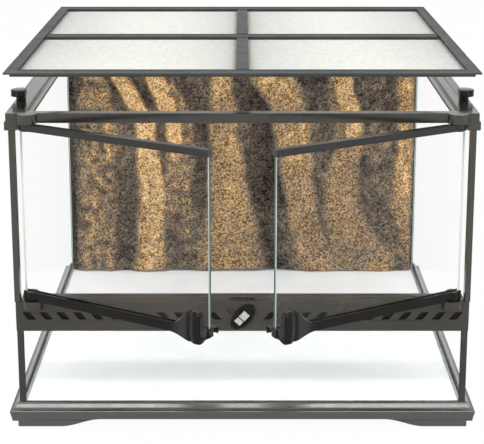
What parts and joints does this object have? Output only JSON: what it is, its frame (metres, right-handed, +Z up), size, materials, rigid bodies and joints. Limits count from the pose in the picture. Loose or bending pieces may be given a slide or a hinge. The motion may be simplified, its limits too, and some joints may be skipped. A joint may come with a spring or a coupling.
{
  "type": "reptile terrarium",
  "caption": "Glass reptile terrarium with hinged front doors, a slotted front vent strip with a lock, a moulded rock back panel and a lift-off mesh cover.",
  "frame": {"origin": "at table height under the middle of the tank, on the plane of the feet", "axes": "+X to the right, +Y from the doors to the back, +Z up"},
  "size_m": [0.462, 0.5743, 0.3719],
  "materials": {
    "frame_plastic": "satin moulded plastic",
    "clear_glass": "clear float glass with pale green edges",
    "black_silicone": "black silicone",
    "bright_steel": "bright steel",
    "moulded_rock": "painted rough foam rock",
    "fine_mesh": "fine pale metal mesh"
  },
  "bodies": {
    "tank": {"base_frame": "frame_plastic", "floor_glass": "clear_glass", "back_glass": "clear_glass", "left_glass": "clear_glass", "right_glass": "clear_glass", "lower_front_glass": "clear_glass", "silicone_seams": "black_silicone", "left_front_post": "frame_plastic", "right_front_post": "frame_plastic", "top_frame": "frame_plastic", "vent_strip": "frame_plastic", "vent_gauze": "fine_mesh", "strip_plug": "black_silicone", "rock_background": "moulded_rock", "left_hinge_pins": "bright_steel", "right_hinge_pins": "bright_steel"},
    "left_door": {"left_door_glass": "clear_glass", "left_top_rail": "frame_plastic", "left_bottom_rail": "frame_plastic", "left_pull": "frame_plastic"},
    "right_door": {"right_door_glass": "clear_glass", "right_top_rail": "frame_plastic", "right_bottom_rail": "frame_plastic", "right_pull": "frame_plastic"},
    "cover": {"cover_frame": "frame_plastic", "cover_cross_bar": "frame_plastic", "front_centre_bar": "frame_plastic", "rear_centre_bar": "frame_plastic", "front_left_mesh": "fine_mesh", "front_right_mesh": "fine_mesh", "rear_left_mesh": "fine_mesh", "rear_right_mesh": "fine_mesh"},
    "lock_turn": {"lock_turn": "frame_plastic", "lock_plates": "bright_steel", "lock_crank": "bright_steel"},
    "lock_bolt": {"lock_bolt": "bright_steel"},
    "front_left_lock": {"front_left_lock": "frame_plastic"},
    "front_right_lock": {"front_right_lock": "frame_plastic"},
    "rear_left_lock": {"rear_left_lock": "frame_plastic"},
    "rear_right_lock": {"rear_right_lock": "frame_plastic"},
    "left_shutter": {"left_inlet_shutter": "frame_plastic"},
    "right_shutter": {"right_inlet_shutter": "frame_plastic"}
  },
  "joints": [
    {"name": "left_door_hinge", "type": "hinge", "parent": "tank", "child": "left_door", "pos_m": [-0.2047, -0.2245, 0.22], "axis": [0, 0, -1], "range_deg": [-30.5, 89.5]},
    {"name": "right_door_hinge", "type": "hinge", "parent": "tank", "child": "right_door", "pos_m": [0.2047, -0.2245, 0.22], "axis": [0, 0, 1], "range_deg": [-30.5, 89.5]},
    {"name": "cover_lift", "type": "slide", "parent": "tank", "child": "cover", "axis": [0, -0.8785, 0.4777], "range_m": [-0.10927, 0.08]},
    {"name": "lock_turning", "type": "hinge", "parent": "tank", "child": "lock_turn", "pos_m": [0.0005, -0.225, 0.1144], "axis": [0, -1, 0], "range_deg": [-47, 43]},
    {"name": "bolt_rise", "type": "slide", "parent": "tank", "child": "lock_bolt", "axis": [0, 0, 1], "range_m": [-0.0066, 0.0061]},
    {"name": "front_left_lock_turning", "type": "hinge", "parent": "tank", "child": "front_left_lock", "pos_m": [-0.2186, -0.164, 0.318], "axis": [0, 0, 1], "range_deg": [0, 180]},
    {"name": "front_right_lock_turning", "type": "hinge", "parent": "tank", "child": "front_right_lock", "pos_m": [0.2186, -0.164, 0.318], "axis": [0, 0, -1], "range_deg": [0, 180]},
    {"name": "rear_left_lock_turning", "type": "hinge", "parent": "tank", "child": "rear_left_lock", "pos_m": [-0.2186, 0.164, 0.318], "axis": [0, 0, 1], "range_deg": [0, 180]},
    {"name": "rear_right_lock_turning", "type": "hinge", "parent": "tank", "child": "rear_right_lock", "pos_m": [0.2186, 0.164, 0.318], "axis": [0, 0, -1], "range_deg": [0, 180]},
    {"name": "left_shutter_slide", "type": "slide", "parent": "tank", "child": "left_shutter", "axis": [-1, 0, 0], "range_m": [0, 0.024]},
    {"name": "right_shutter_slide", "type": "slide", "parent": "tank", "child": "right_shutter", "axis": [1, 0, 0], "range_m": [0, 0.024]}
  ],
  "couplings": [
    {"joint": "bolt_rise", "follows": "lock_turning", "m_per_rad": 0.008}
  ]
}
